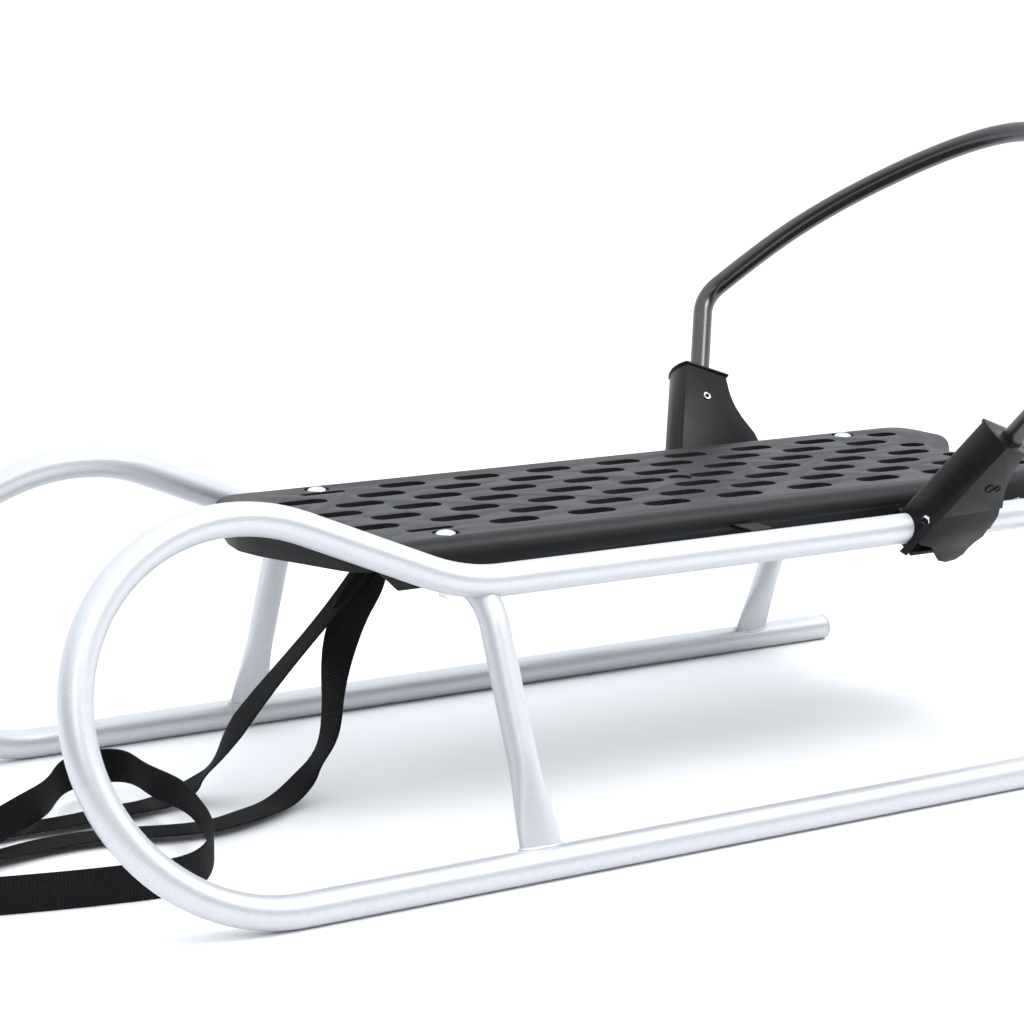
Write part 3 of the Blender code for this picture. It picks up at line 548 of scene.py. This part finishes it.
# Seat deck. One injection-moulded shell of black polypropylene with a fine
# spark-eroded grain, a rolled edge, and rounded slots that let snow through.
def grained_polypropylene():
    """Moulded black polypropylene: matt, greyish where light grazes it."""
    mat, t = new_material("grained_polypropylene")
    place = add(t, "ShaderNodeTexCoord").outputs["Object"]
    # a mould grain of about 0.7 mm, and faint flow marks of 40 mm
    grain = add(t, "ShaderNodeTexNoise", {"Vector": place, "Scale": 1400.0,
                                          "Detail": 4.0, "Roughness": 0.7})
    flow = add(t, "ShaderNodeTexNoise", {"Vector": place, "Scale": 25.0,
                                         "Detail": 4.0})
    tone = add(t, "ShaderNodeMix", {"Factor": flow.outputs[0],
                                    "A": srgb("#08090a"),
                                    "B": srgb("#0f1012")}, data_type="RGBA")
    rough = add(t, "ShaderNodeMapRange", {"Value": flow.outputs[0],
                                          "To Min": 0.42, "To Max": 0.56})
    bump = add(t, "ShaderNodeBump", {"Height": grain.outputs[0],
                                     "Strength": 0.25, "Distance": 0.0003})
    surface(t, {"Base Color": tone.outputs["Result"],
                "Roughness": rough.outputs[0], "Specular IOR Level": 0.3,
                "Normal": bump.outputs[0]})
    return mat


SEAT_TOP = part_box("seat_deck")[1].z
bm = merged("seat_deck")
rims = [e for e in bm.edges
        if len(e.link_faces) == 2 and abs(e.calc_face_angle(0)) > math.radians(60)
        and all(abs(v.co.z - SEAT_TOP) < 0.05 * MM for v in e.verts)]
bmesh.ops.bevel(bm, geom=rims, offset=1.8 * MM, segments=3, profile=0.5,
                affect="EDGES", material=-1, clamp_overlap=True)
POLYPROPYLENE = grained_polypropylene()


def slot_loops(bm):
    """Centre, length and width of each slot, from its lower rim."""
    under = SEAT_TOP - 3 * MM
    left = {e for e in bm.edges
            if all(abs(v.co.z - under) < 0.05 * MM for v in e.verts)
            and any(abs(f.normal.z) < 0.1 and f.calc_center_median().z > under
                    for f in e.link_faces)}
    while left:
        found, near = set(), [left.pop()]
        while near:
            edge = near.pop()
            found.update(edge.verts)
            more = {e for v in edge.verts for e in v.link_edges if e in left}
            left -= more
            near += more
        xs, ys = [v.co.x for v in found], [v.co.y for v in found]
        yield (Vector(((min(xs) + max(xs)) / 2, (min(ys) + max(ys)) / 2)),
               max(ys) - min(ys), max(xs) - min(xs))


def collar(bm, centre, length, width):
    """A wall 1.6 mm thick and 6 mm deep that runs round a slot's underside."""
    half = (length - width) / 2
    high, low = SEAT_TOP - 2.6 * MM, SEAT_TOP - 9 * MM
    rings = ((width / 2, high), (width / 2, low),
             (width / 2 + 1.6 * MM, low), (width / 2 + 1.6 * MM, high),
             (width / 2, high))
    verts = bmesh.ops.create_circle(bm, segments=24, radius=1.0)["verts"]
    heading = [v.co.xy.normalized() for v in verts]
    edges = list({e for v in verts for e in v.link_edges})
    around = list(verts)
    for k, (radius, z) in enumerate(rings):
        if k:
            pairs = {v.co.copy().freeze(): i for i, v in enumerate(verts)}
            made = bmesh.ops.extrude_edge_only(bm, edges=edges)["geom"]
            edges = [g for g in made if isinstance(g, bmesh.types.BMEdge)]
            new = [g for g in made if isinstance(g, bmesh.types.BMVert)]
            verts = sorted(new, key=lambda v: pairs[v.co.copy().freeze()])
            around += verts
        for v, way in zip(verts, heading):
            shift = math.copysign(half, way.y) if abs(way.y) > 0.001 else 0
            v.co = (centre.x + way.x * radius,
                    centre.y + way.y * radius + shift, z)
    bmesh.ops.remove_doubles(bm, verts=around, dist=0.001 * MM)


collars = bmesh.new()
for centre, length, width in list(slot_loops(bm)):
    if length > 15 * MM:
        collar(collars, centre, length, width)
bmesh.ops.recalc_face_normals(collars, faces=collars.faces)
piece(collars, "slot_collars", POLYPROPYLENE)
piece(bm, "slotted_seat", POLYPROPYLENE, ["seat_deck"])


# Seat bolts. Four domed carriage bolts sit in round recesses of the deck
# and pass through the bows to a hexagon nut; all are bright zinc plated.
def zinc_plate():
    """Bright zinc on steel: a clear, slightly bluish metal."""
    mat, t = new_material("zinc_plated_steel")
    place = add(t, "ShaderNodeTexCoord").outputs["Object"]
    haze = add(t, "ShaderNodeTexNoise", {"Vector": place, "Scale": 600.0,
                                         "Detail": 3.0})
    rough = add(t, "ShaderNodeMapRange", {"Value": haze.outputs[0],
                                          "To Min": 0.18, "To Max": 0.34})
    surface(t, {"Base Color": srgb("#d7d9db"), "Metallic": 1.0,
                "Roughness": rough.outputs[0]})
    return mat


ZINC = zinc_plate()
for front, y in (("front", FRONT_BOW), ("rear", 487 * MM + ORIGIN_Y)):
    for side, word in ((1, "left"), (-1, "right")):
        x = side * 94.4 * MM
        bm = bmesh.new()
        bmesh.ops.create_uvsphere(bm, u_segments=32, v_segments=16,
                                  radius=7 * MM)
        bmesh.ops.bisect_plane(bm, geom=list(bm.verts) + list(bm.edges)
                               + list(bm.faces), plane_co=(0, 0, 0),
                               plane_no=(0, 0, 1), clear_inner=True)
        bmesh.ops.scale(bm, vec=(1, 1, 0.42), verts=bm.verts)
        bmesh.ops.translate(bm, vec=(0, 0, SEAT_TOP - 1.2 * MM), verts=bm.verts)
        shank = bmesh.ops.create_cone(bm, cap_ends=True, segments=24,
                                      radius1=3 * MM, radius2=3 * MM,
                                      depth=44 * MM)["verts"]
        bmesh.ops.translate(bm, vec=(0, 0, SEAT_TOP - 1.2 * MM - 22 * MM),
                            verts=shank)
        bmesh.ops.translate(bm, vec=(x, y, 0), verts=bm.verts)
        piece(bm, f"carriage_bolt_{front}_{word}", ZINC,
              [f"seat_bolt_{front}_{word}"])
        node = f"seat_nut_{front}_{word}"
        nut = merged(node)
        corners = [e for e in nut.edges if e.calc_face_angle(0) > 0.8]
        bmesh.ops.bevel(nut, geom=corners, offset=0.3 * MM, segments=2,
                        profile=0.5, affect="EDGES", material=-1)
        piece(nut, f"hexagon_nut_{front}_{word}", ZINC, [node])


# Push hoop. One 16 mm steel tube, bent at two shoulders and over the top,
# powder coated in a smooth half-gloss black.
def black_powder():
    """Black powder coat: half gloss with a slight orange peel."""
    mat, t = new_material("black_powder_coat")
    place = add(t, "ShaderNodeTexCoord").outputs["Object"]
    peel = add(t, "ShaderNodeTexNoise", {"Vector": place, "Scale": 450.0,
                                         "Detail": 2.0})
    tone = add(t, "ShaderNodeMix", {"Factor": peel.outputs[0],
                                    "A": srgb("#030304"),
                                    "B": srgb("#070708")}, data_type="RGBA")
    bump = add(t, "ShaderNodeBump", {"Height": peel.outputs[0],
                                     "Strength": 0.08, "Distance": 0.0004})
    surface(t, {"Base Color": tone.outputs["Result"], "Roughness": 0.24,
                "Specular IOR Level": 0.9, "Normal": bump.outputs[0]})
    return mat


HOOP_DIR = Vector((0.503, 0.398, 0.768)).normalized()
OUTWARDS = Vector((HOOP_DIR.z, 0, -HOOP_DIR.x)).normalized()
LEG_UP = Vector((HOOP_DIR.x, 0, HOOP_DIR.z)).normalized()
HOOP_BASE = Vector((RAIL.x, 377.3 * MM + ORIGIN_Y, RAIL.z)) + OUTWARDS * 2 * MM


def hoop_line():
    """The hoop's centreline: leg, shoulder, arch, and the same again."""
    corner = HOOP_BASE + HOOP_DIR * ((232 * MM - HOOP_BASE.x) / HOOP_DIR.x)
    lean = math.radians(46)
    rise = Vector((0, math.sin(lean), math.cos(lean))) * 208.5 * MM
    arch = []
    for share, width in ((0.19, 0.926), (0.37, 0.830), (0.56, 0.690),
                         (0.73, 0.520), (0.885, 0.320), (0.975, 0.140)):
        p = corner + rise * share
        p.x = 232 * MM * width
        arch.append(p)
    first = (arch[0] - corner).normalized()
    back = 30 * MM * math.tan(HOOP_DIR.angle(first) / 2)
    a, b = corner - HOOP_DIR * back, corner + first * back
    start = HOOP_BASE + HOOP_DIR * (46 * MM / HOOP_DIR.dot(LEG_UP))
    leg = [start.lerp(a, k / 6) for k in range(6)]
    leg += [a * (1 - t) ** 2 + corner * 2 * t * (1 - t) + b * t * t
            for t in [k / 12 for k in range(13)]]
    top = corner + rise
    top.x = 0
    half = [b] + arch[1:]
    over = half + [top] + [Vector((-p.x, p.y, p.z)) for p in reversed(half)]
    over = [Vector(p) for p in smooth_route(over, 72)][1:-1]
    return leg + over + [Vector((-p.x, p.y, p.z)) for p in reversed(leg)]


HOOP_BLACK = black_powder()
round_bar("hoop_tube", hoop_line(), 8 * MM, HOOP_BLACK,
          ["push_hoop"])


# Hoop brackets. A moulded nylon block grips each hoop leg; a lid closes its
# top, and a jaw screwed to its outer side clamps it to the rail.
def moulded_nylon():
    """Black glass-filled nylon: half gloss with drawn-out flow marks."""
    mat, t = new_material("moulded_black_nylon")
    place = add(t, "ShaderNodeTexCoord").outputs["Object"]
    flow = add(t, "ShaderNodeTexNoise", {"Vector": place, "Scale": 60.0,
                                         "Detail": 5.0, "Distortion": 0.6})
    grain = add(t, "ShaderNodeTexNoise", {"Vector": place, "Scale": 1500.0})
    tone = add(t, "ShaderNodeMix", {"Factor": flow.outputs[0],
                                    "A": srgb("#040405"),
                                    "B": srgb("#0a0a0c")}, data_type="RGBA")
    rough = add(t, "ShaderNodeMapRange", {"Value": flow.outputs[0],
                                          "To Min": 0.28, "To Max": 0.46})
    bump = add(t, "ShaderNodeBump", {"Height": grain.outputs[0],
                                     "Strength": 0.12, "Distance": 0.0003})
    surface(t, {"Base Color": tone.outputs["Result"],
                "Roughness": rough.outputs[0], "Specular IOR Level": 0.2,
                "Normal": bump.outputs[0]})
    return mat


NYLON = moulded_nylon()


def softened(node, name, offset, least=40):
    """A solid's copy with its moulded edges rounded off."""
    bm = merged(node)
    edges = [e for e in bm.edges if len(e.link_faces) == 2
             and e.calc_face_angle(0) > math.radians(least)]
    bmesh.ops.bevel(bm, geom=edges, offset=offset, segments=2, profile=0.5,
                    affect="EDGES", material=-1, clamp_overlap=True)
    piece(bm, name, NYLON, [node])


def bracket_point(y, up, out, side=1):
    """A point by its place along the rail, up the bracket and outwards."""
    p = Vector((RAIL.x, y + ORIGIN_Y, RAIL.z)) + LEG_UP * up + OUTWARDS * out
    return Vector((side * p.x, p.y, p.z))


def stud(name, at, axis, radius, height, sides, mat, hole=0.0):
    """A small fastener head with a chamfered rim and maybe a bore."""
    bm = bmesh.new()
    bmesh.ops.create_cone(bm, cap_ends=True, segments=sides, radius1=radius,
                          radius2=radius, depth=height)
    rim = [e for e in bm.edges if all(v.co.z > 0 for v in e.verts)]
    bmesh.ops.bevel(bm, geom=rim, offset=height * 0.25, segments=2,
                    profile=0.5, affect="EDGES", material=-1)
    if hole:
        top = [f for f in bm.faces if f.normal.z > 0.99]
        bmesh.ops.inset_individual(bm, faces=top, thickness=radius - hole)
        top = [f for f in bm.faces if f.normal.z > 0.99
               and f.calc_area() < math.pi * hole * hole * 1.1]
        bmesh.ops.translate(bm, vec=(0, 0, -height * 0.7),
                            verts=list({v for f in top for v in f.verts}))
    turn = axis.to_track_quat("Z", "Y").to_matrix().to_4x4()
    bmesh.ops.transform(bm, matrix=Matrix.Translation(at) @ turn,
                        verts=bm.verts)
    piece(bm, name, mat)


for side, word in ((1, "left"), (-1, "right")):
    softened("bracket_" + word, "bracket_block_" + word, 0.6 * MM)
    softened("bracket_cap_" + word, "bracket_lid_" + word, 0.8 * MM)
    softened("clamp_jaw_" + word, "rail_jaw_" + word, 0.5 * MM)
    outwards = Vector((side * OUTWARDS.x, 0, OUTWARDS.z))
    rivet = bracket_point(402 * MM, 56 * MM, -13.3 * MM, side)
    stud("cross_rivet_" + word, rivet, -outwards, 3.4 * MM, 1.2 * MM, 24,
         ZINC, hole=1.9 * MM)
    # a black nylon disc fills the rivet's bore: painted shade standing in for the
    # dark of the deep hole
    stud("painted_bore_shade_" + word, rivet, -outwards, 1.8 * MM, 0.8 * MM, 16,
         NYLON)
    stud("bracket_screw_" + word,
         bracket_point(398 * MM, 48.5 * MM, 17.3 * MM, side),
         outwards, 3.6 * MM, 1.0 * MM, 24, NYLON,
         hole=2.0 * MM)
    stud("bracket_pin_" + word,
         bracket_point(406 * MM, 47.5 * MM, 17.3 * MM, side),
         outwards, 2.4 * MM, 1.0 * MM, 24, NYLON,
         hole=1.4 * MM)
    stud("clamp_bolt_" + word,
         bracket_point(359.5 * MM, 17 * MM, 10.2 * MM, side),
         Vector((0, -1, 0)) + outwards * 0.4, 3.6 * MM, 2.8 * MM, 6, ZINC,
         hole=1.7 * MM)
